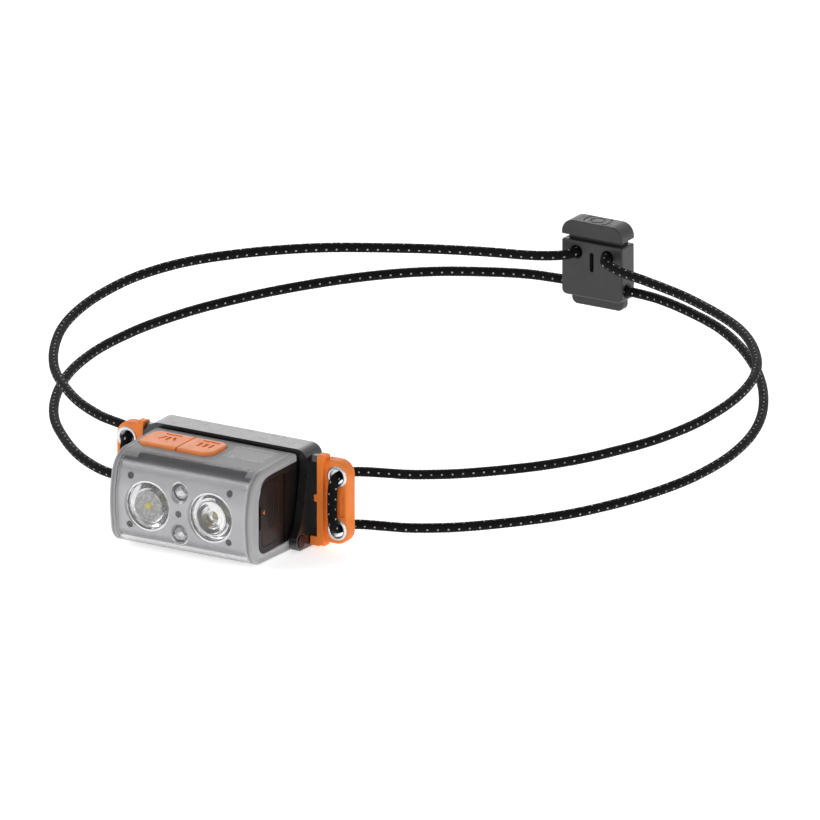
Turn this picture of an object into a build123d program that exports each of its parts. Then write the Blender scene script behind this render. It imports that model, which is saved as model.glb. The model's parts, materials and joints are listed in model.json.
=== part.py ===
from build123d import *
import math
import os

# Ultralight rechargeable headlamp on a cord loop.
# Millimetres, +Z up, the lamp faces -Y and the head is on the +Y side.
# The origin is the centre of the bracket's flat back, which rests on the forehead.

# ---- driving dimensions -------------------------------------------------------------

LAMP_HALF_WIDTH = 22.9
LAMP_REAR_Y = -10.0
SHELL_WALL = 1.3
SHELL_LEFT_WALL = 1.8
SHELL_RIGHT_WALL = 2.2
# corners of the lamp's side outline as (y, z), each with its corner radius
SHELL_OUTLINE = [
    (-10.0, 13.5, 0),
    (-32.7, 13.1, 7.5),
    (-35.5, 1.0, 30),
    (-33.8, -13.4, 6),
    (-10.0, -14.0, 0),
]
SHELL_EDGE_RADIUS = 0.9
BEZEL_INSET = SHELL_WALL + 0.25
BEZEL_THICK = 0.8

OPTICS_X = -1.0
OPTICS_Z = -1.0
OPTICS_SPACING = 20.4
LENS_RADIUS = 6.6
LENS_FRONT_Y = -33.0
LENS_DEPTH = 7.4
CUP_CLEARANCE = 0.1
CUP_WALL = 0.5
LED_BOARD_FRONT_Y = -24.2
LED_BOARD_THICK = 1.0
AUX_LED_Z = (4.6, -7.4)
AUX_LED_RADIUS = 2.4
# each front screw as (x, z, y of its head's front), on the bezel's curved face
BEZEL_SCREWS = [(-17, 6.9, -32.5), (15, 6.9, -32.5), (-17, -7.1, -32.8), (15, -7.1, -32.8), (-1, -1.4, -33.5)]
SCREW_HEAD = 0.45
REAR_SCREW_POINTS = [(-19.2, 9.1), (18.9, 9.1), (-19.2, -10.0), (18.9, -10.0)]
POST_RADIUS = 0.9
SCREW_SHANK_RADIUS = 0.5

PAD_X = (-20.6, 3.4)
PAD_Y = (-24.3, -13.1)
PAD_CORNER = 3.0
PAD_SPLIT_X = -7.6
PAD_SPLIT_GAP = 0.5
PAD_TOP_Z = 14.2
PAD_UNDERSIDE_Z = 11.1
BUTTON_TRAVEL = 0.5
ICON_STROKE = 0.85
ICON_DEPTH = 0.35
ICON_BAR_Y = -15.0
ICON_BAR_LENGTH = 5.4
ICON_DASH_Y = -18.3
ICON_DASH_LENGTH = 3.1
ICON_DASH_PITCH = 1.9
WINDOW_X = (5.6, 18.2)
WINDOW_Y = (-21.2, -11.8)

PORT_Y = -20.0
PORT_HALF = (1.6, 4.5)
COVER_HINGE = (22.3, -16.85)
COVER_RADIUS = 0.5
RECESS_FLOOR_X = 21.6

PIVOT = (-12.2, -11.0)
PIN_RADIUS = 1.2
PIN_CLEARANCE = 0.05
ARM_X = (23.4, 25.8)
TRAY_BOTTOM, TRAY_TOP = -14.2, 14.6
TRAY_DEPTH = 9.1

RAIL_X = (25.8, 28.2)
RAIL_Y = (-7.6, -3.3)
RAIL_Z = (-10.4, 12.7)
EYELET_X = 34.0
EYELET_Z = 7.75
PLATE_Y = (-6.7, -2.6)
PLATE_OUTER_X = 37.6
PLATE_HALF_HEIGHT = 12.1
FLANGE_OUTER_X = 30.2
FLANGE_Y = (-7.8, -3.9)
FLANGE_Z = (-13.1, 13.4)

CORD_DIAMETER = 2.7
LOCK_FRONT_Y = 187.3
LOCK_DEPTH = 6.9
LOCK_HALF_WIDTH = 9.8
LOCK_Z = (-1.5, 14.7)
LOCK_HOLE_X = 5.0
LOCK_HOLE_Z = 11.5
LOCK_PASSAGE = (190.3, 1.7)
LOCK_TRAVEL = 1.2
LOCK_SLAB_Y = (190.6, 193.0)
LOCK_PIN_Z = 5.6
LOCK_PIN_RADIUS = 0.5
KNOT_CENTRE = (0.0, 202.5, 0.6)
KNOT_RADIUS = 3.2

# The right half of the cord's route, from the knot behind the lock, through the lock,
# round the upper loop, down through both eyelets of the lug, and back to the lock.
CORD_HALF_ROUTE = [
    (1.2, 202.5, 3.4),
    (3.2, 202.1, 7.3),
    (4.5, 199.9, 10.7),
    (5.0, 196.8, 11.5),
    (5.0, 184.9, 11.5),
    (8.2, 182.6, 11.1),
    (15.0, 179.0, 11.0),
    (27.0, 175.3, 11.2),
    (46.5, 168.0, 11.0),
    (75.0, 149.0, 11.8),
    (98.5, 115.0, 12.2),
    (101.0, 72.5, 10.1),
    (85.5, 36.5, 8.6),
    (65.5, 15.4, 7.9),
    (51.5, 6.2, 7.6),
    (43.0, 3.1, 7.7),
    (38.0, 1.3, 7.7),
    (35.2, -0.4, 7.7),
    (34.2, -2.8, 7.7),
    (33.9, -6.8, 7.7),
    (33.7, -8.7, 5.9),
    (33.7, -8.7, -5.9),
    (33.9, -6.8, -7.7),
    (34.2, -2.8, -7.7),
    (35.2, -0.4, -7.7),
    (38.0, 1.2, -7.7),
    (43.0, 2.9, -7.8),
    (51.5, 6.0, -8.0),
    (65.5, 15.4, -7.8),
    (87.5, 39.5, -6.8),
    (101.0, 76.0, -5.2),
    (98.0, 114.5, -3.7),
    (80.0, 148.7, -1.4),
    (53.0, 174.8, 1.3),
    (25.0, 187.0, 2.2),
    (12.5, 190.3, 1.7),
]


# ---- helpers ------------------------------------------------------------------------

def block(x, y, z):
    """A box from its x, y and z ranges."""
    size = Box(x[1] - x[0], y[1] - y[0], z[1] - z[0])
    return Pos((x[0] + x[1]) / 2, (y[0] + y[1]) / 2, (z[0] + z[1]) / 2) * size


def along_x(sketch, x):
    """A (y, z) sketch extruded over an x range."""
    return Pos((x[0] + x[1]) / 2, 0, 0) * extrude(Plane.YZ * sketch, (x[1] - x[0]) / 2, both=True)


def along_y(sketch, y):
    """An (x, z) sketch extruded over a y range."""
    return Pos(0, (y[0] + y[1]) / 2, 0) * extrude(Plane.XZ * sketch, (y[1] - y[0]) / 2, both=True)


def along_z(sketch, z):
    """An (x, y) sketch extruded over a z range."""
    return Pos(0, 0, (z[0] + z[1]) / 2) * extrude(Plane.XY * sketch, (z[1] - z[0]) / 2, both=True)


def rounded(x, y, radius):
    """A rectangle with round corners from its two ranges."""
    centre = Pos((x[0] + x[1]) / 2, (y[0] + y[1]) / 2)
    return centre * RectangleRounded(x[1] - x[0], y[1] - y[0], radius)


def outline(points):
    """A closed outline from (a, b, corner radius) points."""
    face = make_face(Polyline(*[(a, b) for a, b, _ in points], close=True))
    for a, b, radius in points:
        if radius:
            face = fillet(face.vertices().sort_by_distance((a, b, 0))[0], radius)
    return face


def turned(points, x=0, z=0):
    """A body turned about an axis along Y from (radius, y) points."""
    return Pos(x, 0, z) * revolve(make_face(Polyline(*points, close=True)), Axis.Y)


def rod_y(radius, x, z, y):
    return Pos(x, (y[0] + y[1]) / 2, z) * Rot(90, 0, 0) * Cylinder(radius, y[1] - y[0])


def rod_x(radius, y, z, x):
    return Pos((x[0] + x[1]) / 2, y, z) * Rot(0, 90, 0) * Cylinder(radius, x[1] - x[0])


def rod_z(radius, x, y, z):
    return Pos(x, y, (z[0] + z[1]) / 2) * Cylinder(radius, z[1] - z[0])


def mirrored(shape):
    return mirror(shape, about=Plane.YZ)


def save(name, shape):
    export_step(shape, f"parts/{name}.step")


# ---- lamp casing --------------------------------------------------------------------

def shell_outline(inset=0.0):
    face = outline(SHELL_OUTLINE)
    return offset(face, -inset) if inset else face


def front_shell():
    solid = along_x(shell_outline(), (-LAMP_HALF_WIDTH, LAMP_HALF_WIDTH))
    rims = [e for e in solid.edges() if e.center().Y < LAMP_REAR_Y - 0.1]
    rims = [e for e in rims if abs(abs(e.center().X) - LAMP_HALF_WIDTH) < 0.01]
    solid = fillet(rims, SHELL_EDGE_RADIUS)
    inner_x = (-LAMP_HALF_WIDTH + SHELL_LEFT_WALL, LAMP_HALF_WIDTH - SHELL_RIGHT_WALL)
    solid -= along_x(shell_outline(SHELL_WALL), inner_x)
    solid -= block(inner_x, (-12.0, LAMP_REAR_Y + 1), (-14.0 + SHELL_WALL, 13.5 - SHELL_WALL))
    pad = rounded((PAD_X[0] - 0.3, PAD_X[1] + 0.3), (PAD_Y[0] - 0.3, PAD_Y[1] + 0.3), PAD_CORNER + 0.3)
    solid -= along_z(pad, (9.0, 16.0))
    solid -= along_x(cover_recess_outline(), (RECESS_FLOOR_X, 24.0))
    solid -= along_x(port_outline(0.6), (20.0, 22.0))
    for x in ((21.4, 24.0), (-24.0, -21.4)):
        solid -= rod_x(PIN_RADIUS + PIN_CLEARANCE, *PIVOT, x)
    return solid


def cover_outline(gap=0.0):
    """The (y, z) outline of the port cover's flap, from its free end to its hinge."""
    rear = COVER_HINGE[1] + gap
    points = [(-30.2 - gap, 9.6 + gap, 5.5), (rear, 9.6 + gap, 0)]
    points += [(rear, -10.6 - gap, 0), (-30.2 - gap, -10.6 - gap, 3.5)]
    return outline(points)


def anchor_outline(gap=0.0):
    front = -16.2 - gap
    points = [(front, 9.6 + gap, 0), (-11.0 + gap, 9.6 + gap, 0.8)]
    points += [(-11.0 + gap, -7.6 - gap, 0.8), (-13.4, -10.6 - gap, 0.8), (front, -10.6 - gap, 0)]
    return outline(points)


def cover_recess_outline():
    """The pocket in the shell's right side that holds the flap and its anchor."""
    bridge = Pos(-16.6, -0.5) * Rectangle(1.6, 20.7)
    return cover_outline(0.25) + anchor_outline(0.05) + bridge


def port_outline(gap):
    y = (PORT_Y - PORT_HALF[0] - gap, PORT_Y + PORT_HALF[0] + gap)
    z = (-PORT_HALF[1] - gap, PORT_HALF[1] + gap)
    return rounded(y, z, PORT_HALF[0] + gap - 0.01)


def reflector_bezel():
    """The satin inner face: a band just inside the shell's front, top and bottom."""
    x = (-20.8, 20.4)
    band = along_x(shell_outline(BEZEL_INSET), x)
    inner = BEZEL_INSET + BEZEL_THICK
    band -= along_x(shell_outline(inner), (x[0] - 1, x[1] + 1))
    band -= block((-22, 22), (-28.0, -9.0), (-16.0, 13.45 - inner))
    band -= block((-22, 22), (-12.0, -9.0), (-16.0, 16.0))
    pad = rounded((PAD_X[0] - 1.0, PAD_X[1] + 0.8), (PAD_Y[0] - 0.8, PAD_Y[1] + 0.8), 2.0)
    band -= along_z(pad, (9.0, 16.0))
    window = rounded((WINDOW_X[0] - 0.05, WINDOW_X[1] + 0.05), (WINDOW_Y[0] - 0.05, WINDOW_Y[1] + 0.05), 1.05)
    band -= along_z(window, (9.0, 16.0))
    for side in (-1, 1):
        x_centre = OPTICS_X + side * OPTICS_SPACING / 2
        band -= rod_y(cup_radius() + 0.05, x_centre, OPTICS_Z, (-37, -30))
    for z in AUX_LED_Z:
        hole = AUX_LED_RADIUS + 0.1
        band -= turned([(0, -37), (3.4, -37), (3.1, -33.4), (hole, -32.7), (hole, -29), (0, -29)], OPTICS_X, z)
    for px, pz, head_y in BEZEL_SCREWS:
        band -= rod_y(SCREW_SHANK_RADIUS, px, pz, (-36, -30))
        band -= rod_y(1.0, px, pz, (-36, head_y + SCREW_HEAD))
    return band


# ---- optics and light board ---------------------------------------------------------

def cup_radius():
    return LENS_RADIUS + CUP_CLEARANCE + CUP_WALL


def lens_points(recess):
    """Half section of a total-internal-reflection lens, with an LED recess at the back."""
    back = LENS_FRONT_Y + LENS_DEPTH
    front = LENS_FRONT_Y
    points = [(0, front + recess)]
    if recess:
        points += [(1.6, front + recess), (2.1, front + 0.9), (3.4, front + 0.9), (3.6, front + 0.45)]
        points += [(4.8, front + 0.45), (5.0, front)]
    points += [(LENS_RADIUS, front), (LENS_RADIUS, front + 1.0), (5.6, front + 3.6)]
    points += [(4.2, back - 1.4), (3.0, back), (1.9, back), (1.9, back - 2.0), (0, back - 2.0)]
    return points


def tir_lens(side, recess):
    return turned(lens_points(recess), OPTICS_X + side * OPTICS_SPACING / 2, OPTICS_Z)


def reflector_cup(side):
    """A thin plated cup around a lens, open at both ends."""
    inner = LENS_RADIUS + CUP_CLEARANCE
    front, back = LENS_FRONT_Y + 0.2, LENS_FRONT_Y + LENS_DEPTH + 0.3
    points = [(inner, front), (inner, front + 1.2), (5.8, front + 3.6), (4.4, back - 1.5), (3.4, back)]
    points += [(3.9, back), (5.0, back - 1.5), (6.4, front + 3.6), (cup_radius(), front + 1.2)]
    points += [(cup_radius(), front)]
    return turned(points, OPTICS_X + side * OPTICS_SPACING / 2, OPTICS_Z)


def led_package(side):
    """A surface-mount LED: a square base with a low dome."""
    x = OPTICS_X + side * OPTICS_SPACING / 2
    base = block((x - 1.2, x + 1.2), (LED_BOARD_FRONT_Y - 0.7, LED_BOARD_FRONT_Y), (-2.2, 0.2))
    dome = Pos(x, LED_BOARD_FRONT_Y - 0.6, OPTICS_Z) * Sphere(1.0)
    below = block((x - 2, x + 2), (LED_BOARD_FRONT_Y, LED_BOARD_FRONT_Y + 2), (-3, 2))
    return base + (dome - below)


def aux_led(z):
    """A small round-nosed LED with a base flange."""
    nose_y, base = LENS_FRONT_Y + 0.1 + AUX_LED_RADIUS, LED_BOARD_FRONT_Y
    body = rod_y(AUX_LED_RADIUS, OPTICS_X, z, (nose_y, base))
    nose = Pos(OPTICS_X, nose_y, z) * Sphere(AUX_LED_RADIUS)
    flange = rod_y(2.8, OPTICS_X, z, (base - 1.0, base))
    return body + nose + flange


def led_board():
    board = block((-20.0, 19.6), (LED_BOARD_FRONT_Y, LED_BOARD_FRONT_Y + LED_BOARD_THICK), (-10.6, 10.4))
    for px, pz, _ in BEZEL_SCREWS:
        board -= rod_y(POST_RADIUS + 0.1, px, pz, (-26, -22))
    return board


def mid_frame():
    """The inner frame: a ring plate with screw posts to the front and to the rear."""
    plate_y = (LED_BOARD_FRONT_Y + LED_BOARD_THICK, LED_BOARD_FRONT_Y + LED_BOARD_THICK + 1.0)
    frame = block((-20.6, 20.2), plate_y, (-11.4, 10.4))
    frame -= block((-15.0, 13.0), (-24, -21), (0.6, 5.5))
    frame -= block((-15.0, 13.0), (-24, -21), (-9.0, -3.4))
    for px, pz, head_y in BEZEL_SCREWS:
        frame += rod_y(POST_RADIUS, px, pz, (head_y + 1.6, plate_y[0]))
        frame -= rod_y(SCREW_SHANK_RADIUS, px, pz, (-33, -28.4))
    for px, pz in REAR_SCREW_POINTS:
        frame += rod_y(1.0, px, pz, (plate_y[1], -5.9))
        frame -= rod_y(SCREW_SHANK_RADIUS, px, pz, (-9.5, -5.5))
    return frame


def bezel_screws():
    screws = []
    for px, pz, head_y in BEZEL_SCREWS:
        head = rod_y(0.95, px, pz, (head_y, head_y + SCREW_HEAD))
        screws.append(head + rod_y(SCREW_SHANK_RADIUS, px, pz, (head_y + SCREW_HEAD, -28.6)))
    return Compound(children=screws)


# ---- electronics and battery --------------------------------------------------------

def main_board():
    board = block((-20.2, 19.8), (-22.0, -12.0), (6.6, 7.6))
    for px, pz in REAR_SCREW_POINTS:
        board -= block((px - 1.3, px + 1.3), (-23, -5), (pz - 1.3, pz + 1.3))
    return board


def tact_switches():
    switches = []
    for x in button_centres():
        body = block((x - 2.2, x + 2.2), (-20.4, -16.4), (7.6, 9.0))
        switches.append(body + rod_z(0.9, x, -18.4, (9.0, 9.5)))
    return Compound(children=switches)


def button_centres():
    return [(PAD_X[0] + PAD_SPLIT_X) / 2, (PAD_SPLIT_X + PAD_X[1]) / 2]


def bar_places():
    """The centres of the indicator's light pipes: one status square, four level bars."""
    return [(7.4, -18.9)] + [(11.0 + 2.05 * i, -19.3) for i in range(4)]


def indicator_leds():
    chips = [block((x - 0.5, x + 0.5), (y - 0.3, y + 0.3), (7.6, 8.1)) for x, y in bar_places()]
    return Compound(children=chips)


def light_pipes():
    pipes = [block((x - 0.65, x + 0.65), (y - 0.75, y + 0.75), (8.4, 11.9)) for x, y in bar_places()]
    return Compound(children=pipes)


def indicator_window():
    window = along_z(rounded(WINDOW_X, WINDOW_Y, 1.0), (11.1, 11.9))
    for x, y in bar_places():
        window -= block((x - 0.65, x + 0.65), (y - 0.75, y + 0.75), (10, 13))
    return window


def usb_c_socket():
    """The receptacle's steel can with its tongue; it opens towards +X."""
    y = (PORT_Y - PORT_HALF[0], PORT_Y + PORT_HALF[0])
    can = along_x(rounded(y, (-PORT_HALF[1], PORT_HALF[1]), 1.5), (13.3, 20.6))
    can -= along_x(rounded((y[0] + 0.3, y[1] - 0.3), (-4.2, 4.2), 1.25), (14.2, 21.0))
    tongue = block((14.2, 19.6), (PORT_Y - 0.35, PORT_Y + 0.35), (-3.4, 3.4))
    return can + tongue


def usb_board():
    return block((8.0, 20.2), (-18.4, -17.6), (-6.4, 6.2))


def battery_cell():
    cell = block((-17.4, 16.8), (-17.3, -6.6), (-10.6, 5.2))
    return fillet(cell.edges().filter_by(Axis.X), 2.0)


def battery_leads():
    leads = [rod_z(0.45, x, -13.0, (5.2, 6.6)) for x in (-6.0, -3.5)]
    return Compound(children=leads)


def battery_foam():
    return block((-16.0, 15.6), (-6.6, -5.8), (-9.0, 3.6))


# ---- rear housing -------------------------------------------------------------------

def rear_housing():
    """The dark rear box; its front lip sits inside the shell."""
    side = [(-9.95, 12.4, 0), (-4.6, 12.4, 1.9), (-4.6, -12.2, 0.8), (-9.95, -12.2, 0)]
    outer = along_x(outline(side), (-21.9, 21.9))
    rear_sides = [e for e in outer.edges().filter_by(Axis.Z) if e.center().Y > -5]
    outer = fillet(rear_sides, 1.5)
    outer += block((-20.9, 20.5), (-11.7, -9.9), (-12.4, 12.0))
    outer -= block((-19.9, 19.5), (-14.0, -9.9), (-11.4, 10.7))
    outer -= block((-20.6, 20.3), (-10.0, -5.8), (-11.2, 10.8))
    outer -= seal_ring(0.0)
    for px, pz in REAR_SCREW_POINTS:
        outer -= block((px - 1.2, px + 1.2), (-14, -5.8), (pz - 1.2, pz + 1.2))
        outer -= rod_y(SCREW_SHANK_RADIUS, px, pz, (-7, -4))
        outer -= rod_y(1.1, px, pz, (-5.2, -4))
    return outer


def seal_ring(proud):
    ring = block((-20.9 - proud, 20.5 + proud), (-11.4, -10.5), (-12.4 - proud, 12.0 + proud))
    return ring - block((-20.5, 20.1), (-12.5, -10.0), (-12.0, 11.6))


def rear_housing_screws():
    screws = [
        rod_y(1.0, px, pz, (-5.2, -4.75)) + rod_y(SCREW_SHANK_RADIUS, px, pz, (-9.4, -5.2))
        for px, pz in REAR_SCREW_POINTS
    ]
    return Compound(children=screws)


# ---- buttons and port cover ---------------------------------------------------------

def button(index):
    """One key of the orange pad: a cap, a skirt under the shell and a nub over the switch."""
    left, right = PAD_X[0], PAD_X[1]
    cap = along_z(rounded(PAD_X, PAD_Y, PAD_CORNER), (PAD_UNDERSIDE_Z, PAD_TOP_Z))
    top = cap.faces().sort_by(Axis.Z)[-1]
    cap = fillet(top.edges(), 0.6)
    if index == 0:
        right = PAD_SPLIT_X - PAD_SPLIT_GAP / 2
    else:
        left = PAD_SPLIT_X + PAD_SPLIT_GAP / 2
    keep = block((left - 0.01, right + 0.01), (PAD_Y[0] - 1, PAD_Y[1] + 1), (8, 16))
    cap &= keep
    x = button_centres()[index]
    cap += rod_z(1.4, x, -18.4, (9.5 + BUTTON_TRAVEL + 0.08, PAD_UNDERSIDE_Z + 0.2))
    return cap - button_icon(x + 0.6, fan=(index == 0))


def button_icon(x, fan):
    """A bar over three dashes, which fan out or lie side by side."""
    bar = Pos(x, ICON_BAR_Y, PAD_TOP_Z) * Box(ICON_BAR_LENGTH, ICON_STROKE, 2 * ICON_DEPTH)
    icon = bar
    for step in (-1, 0, 1):
        spread = 26 * step if fan else 0
        place = Pos(x + ICON_DASH_PITCH * step, ICON_DASH_Y, PAD_TOP_Z) * Rot(0, 0, spread)
        icon += place * Box(ICON_STROKE, ICON_DASH_LENGTH, 2 * ICON_DEPTH)
    return icon


def port_cover():
    """The flap with its hinge roll, its plug and a small finger lift."""
    x = (COVER_HINGE[0] - COVER_RADIUS, COVER_HINGE[0] + COVER_RADIUS)
    flap = along_x(cover_outline(), x)
    flap += rod_z(COVER_RADIUS, *COVER_HINGE, (-10.6, 9.6))
    plug = along_x(port_outline(-0.1), (20.75, x[0] + 0.1))
    plug -= along_x(port_outline(-0.9), (20.0, x[0] - 0.4))
    flap += plug
    lift = block((x[1] - 0.01, x[1] + 0.35), (-29.6, -28.9), (-3.4, 3.4))
    return flap + lift


def port_cover_anchor():
    strip = along_x(anchor_outline(), (RECESS_FLOOR_X + 0.05, COVER_HINGE[0] + COVER_RADIUS))
    return strip - rod_x(PIN_RADIUS + 0.6, *PIVOT, (21, 24))


# ---- bracket ------------------------------------------------------------------------

def arm_outline():
    """The side arm: a straight rear, and a boot-shaped front that ends in the pivot foot."""
    foot = Pos(*PIVOT) * Circle(2.6)
    points = [(-1.0, 9.0, 0), (-9.0, 9.0, 0), (-10.4, 1.4, 6), (-12.0, -6.0, 6), (-14.7, -9.6, 1.0)]
    points += [(-14.4, -13.6, 2.0), (-1.0, -13.8, 0)]
    return outline(points) + foot


def bracket():
    tray = block((-ARM_X[1], ARM_X[1]), (-TRAY_DEPTH, 0), (TRAY_BOTTOM, TRAY_TOP))
    corners = [e for e in tray.edges().filter_by(Axis.Y) if e.center().Z > 0]
    tray = fillet(corners, 3.4)
    tray = fillet([e for e in tray.edges().filter_by(Axis.Y) if e.center().Z < 0], 2.0)
    back = [e for e in tray.faces().sort_by(Axis.Y)[-1].edges()]
    tray = fillet(back, 1.2)
    tray -= along_y(rounded((-ARM_X[0], ARM_X[0]), (-13.1, 13.4), 2.8), (-12, -1.8))
    tray -= block((-ARM_X[0], ARM_X[0]), (-10, -6.5), (-16, 0))
    for side in (-1, 1):
        x = sorted((side * ARM_X[0], side * ARM_X[1]))
        tray += along_x(arm_outline(), x)
        tray += rail(side)
        tray -= rod_x(PIN_RADIUS, *PIVOT, sorted((side * 22.0, side * 27.0)))
        tray -= rod_x(1.9, *PIVOT, sorted((side * (ARM_X[1] - 0.5), side * 27.0)))
    return tray


def rail(side):
    """The block that carries a cord lug, with a T rib that the lug slides over."""
    body = block(RAIL_X, RAIL_Y, RAIL_Z)
    body = chamfer([e for e in body.edges().filter_by(Axis.X) if e.center().Z > 10], 1.4)
    body += block((RAIL_X[0] - 1.5, RAIL_X[0]), RAIL_Y, (RAIL_Z[0], 9.0))
    body += block((RAIL_X[1], RAIL_X[1] + 1.2), (-6.4, -4.6), (-9.4, 11.2))
    body -= block((27.2, 28.3), (-8.0, -6.9), (-0.3, 1.9))
    return body if side > 0 else mirrored(body)


def cord_lug(side):
    """The orange lug: a flange on the rail, a hook under it, and the plate with two holes."""
    flange = block((RAIL_X[1] + 0.02, FLANGE_OUTER_X), FLANGE_Y, FLANGE_Z)
    flange = fillet([e for e in flange.edges().filter_by(Axis.X) if abs(e.center().Z) > 13], 0.9)
    flange += block((26.1, 29.0), (FLANGE_Y[0], -3.3), (FLANGE_Z[0], RAIL_Z[0] - 0.05))
    flange -= block((RAIL_X[1], RAIL_X[1] + 1.25), (-6.45, -4.55), (-9.45, 11.25))
    flange += block((27.3, 28.6), (-7.8, -7.0), (-0.2, 1.8))
    plate = along_y(rounded((24.0, PLATE_OUTER_X), (-PLATE_HALF_HEIGHT, PLATE_HALF_HEIGHT), 4.0), PLATE_Y)
    plate = fillet(plate.faces().sort_by(Axis.Y)[0].edges(), 1.0)
    plate = fillet(plate.faces().sort_by(Axis.Y)[-1].edges(), 0.5)
    plate &= block((FLANGE_OUTER_X - 0.1, 40), (-8, -2), (-14, 14))
    lug = flange + plate
    lug -= block((35.1, 36.5), (PLATE_Y[0] - 1, PLATE_Y[0] + 0.4), (-3.9, 3.5))
    for z in (EYELET_Z, -EYELET_Z):
        lug -= rod_y(2.45, EYELET_X, z, (-9, -2))
        lug -= rod_y(3.3, EYELET_X, z, (-9, PLATE_Y[0])) + rod_y(3.3, EYELET_X, z, (PLATE_Y[1], -2))
    return lug if side > 0 else mirrored(lug)


def eyelet(side, z):
    """A rolled metal eyelet: a barrel with a domed flange on each face of the plate."""
    front, back = PLATE_Y
    points = [(2.1, front + 0.1), (2.2, front - 0.25), (2.55, front - 0.4), (2.95, front - 0.3)]
    points += [(3.15, front), (2.43, front), (2.43, back), (3.15, back), (2.95, back + 0.2)]
    points += [(2.4, back + 0.25), (2.15, back + 0.1), (2.1, back - 0.1)]
    return turned(points, side * EYELET_X, z)


def pivot_pin(side):
    """A headed pin, fixed in the arm, that the lamp tilts on."""
    shank = rod_x(PIN_RADIUS, *PIVOT, (21.7, ARM_X[1] - 0.5))
    head = rod_x(1.85, *PIVOT, (ARM_X[1] - 0.5, ARM_X[1] + 0.25))
    pin = shank + head
    return pin if side > 0 else mirrored(pin)


# ---- cord lock ----------------------------------------------------------------------

def lock_y():
    return (LOCK_FRONT_Y, LOCK_FRONT_Y + LOCK_DEPTH)


def cord_lock_body():
    """The lock's housing: a cavity for the plunger, two upper holes and a cross passage."""
    half, (low, high) = LOCK_HALF_WIDTH, LOCK_Z
    front = [(-half, high, 0.5), (half, high, 0.5), (half, low, 1.5), (-half, low, 1.5)]
    body = along_y(outline(front), lock_y())
    mid_y = LOCK_FRONT_Y + LOCK_DEPTH / 2
    bottom = [e for e in body.edges() if e.center().Z < 0 and abs(e.center().Y - mid_y) > 3]
    body = fillet(bottom, 0.6)
    body -= block((-8.45, 8.45), (190.5, 193.1), (-3, 16))
    body -= block((-8.6, 8.6), (189.1, 193.1), (13.3, 16))
    passage_y, passage_z = LOCK_PASSAGE
    body -= rod_x(1.5, passage_y, passage_z, (-12, 12))
    for side in (-1, 1):
        flare = Cone(1.5, 2.2, 0.8)
        body -= Pos(side * (half - 0.4), passage_y, passage_z) * Rot(0, side * 90, 0) * flare
        body -= rod_y(1.62, side * LOCK_HOLE_X, LOCK_HOLE_Z, (186, 196))
        body -= Pos(side * LOCK_HOLE_X, LOCK_FRONT_Y + 0.3, LOCK_HOLE_Z) * Rot(90, 0, 0) * Cone(1.62, 2.0, 0.6)
    body -= along_y(rounded((-0.65, 0.65), (6.3, 12.0), 0.64), (186, 191))
    body -= rod_y(LOCK_PIN_RADIUS, 0, LOCK_PIN_Z, (189.4, 196))
    return body


def cord_lock_plunger():
    """Cap, neck and slab in one piece; the slab's lower end shows below the housing."""
    cap = along_y(outline([(-9.8, 16.2, 0), (9.8, 16.2, 0), (9.8, 20.5, 3.6), (-9.8, 20.5, 3.6)]), lock_y())
    rims = [e for e in cap.edges() if e.center().Z > 16.3 and abs(e.center().Y - 190.75) > 3]
    cap = fillet(rims, 0.4)
    cap += block((-8.4, 8.4), (189.3, 193.0), (14.6, 16.4))
    cap += along_y(outline([(-8.3, 14.8, 0), (8.3, 14.8, 0), (8.3, -4.8, 1.8), (-8.3, -4.8, 1.8)]), LOCK_SLAB_Y)
    notch_z = (LOCK_PASSAGE[1] - 1.55, LOCK_PASSAGE[1] + 1.55 + LOCK_TRAVEL)
    cap -= block((-12, 12), (188, 191.95), notch_z)
    cap -= block((-1.15, 1.15), (188, 194), (LOCK_PIN_Z - 0.55, 11.6))
    for side in (-1, 1):
        for z in (LOCK_HOLE_Z, LOCK_HOLE_Z + LOCK_TRAVEL):
            cap -= rod_y(1.5, side * LOCK_HOLE_X, z, (188, 194))
        hole_x = side * LOCK_HOLE_X
        cap -= block((hole_x - 1.5, hole_x + 1.5), (188, 194), (LOCK_HOLE_Z, LOCK_HOLE_Z + LOCK_TRAVEL))
    ring = Pos(0, 190.75, 20.5) * (Cylinder(2.2, 0.4) - Cylinder(1.75, 0.6))
    arcs = Pos(0, 190.75, 20.5) * (Cylinder(4.1, 0.4) - Cylinder(3.65, 0.6))
    arcs -= block((-2.6, 2.6), (180, 200), (19, 22))
    return cap - ring - arcs


def cord_lock_pin():
    return rod_y(LOCK_PIN_RADIUS, 0, LOCK_PIN_Z, (189.6, 194.1))


def cord_lock_spring():
    """A small compression spring between the pin and the top of the plunger's slot."""
    wire, radius = 0.16, 0.85
    bottom = LOCK_PIN_Z + LOCK_PIN_RADIUS + 0.02
    height = 11.6 - bottom - 2 * wire - 0.04
    path = Helix(pitch=height / 6, height=height, radius=radius)
    section = Plane(path @ 0, z_dir=path % 0) * Circle(wire)
    return Pos(0, 191.8, bottom + wire) * sweep(section, path)


# ---- cord ---------------------------------------------------------------------------

def cord_route():
    """The whole route: the right half, then the same points mirrored, back to the knot."""
    left_half = [(-x, y, z) for x, y, z in reversed(CORD_HALF_ROUTE)]
    return CORD_HALF_ROUTE + left_half


def corner_radii(points):
    """Each corner's arc is as large as its two runs allow."""
    radii = []
    for before, here, after in zip(points, points[1:], points[2:]):
        run_in = Vector(*here) - Vector(*before)
        run_out = Vector(*after) - Vector(*here)
        half_turn = math.radians(run_in.get_angle(run_out)) / 2
        radii.append(0.45 * min(run_in.length, run_out.length) / math.tan(half_turn))
    return radii


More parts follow.
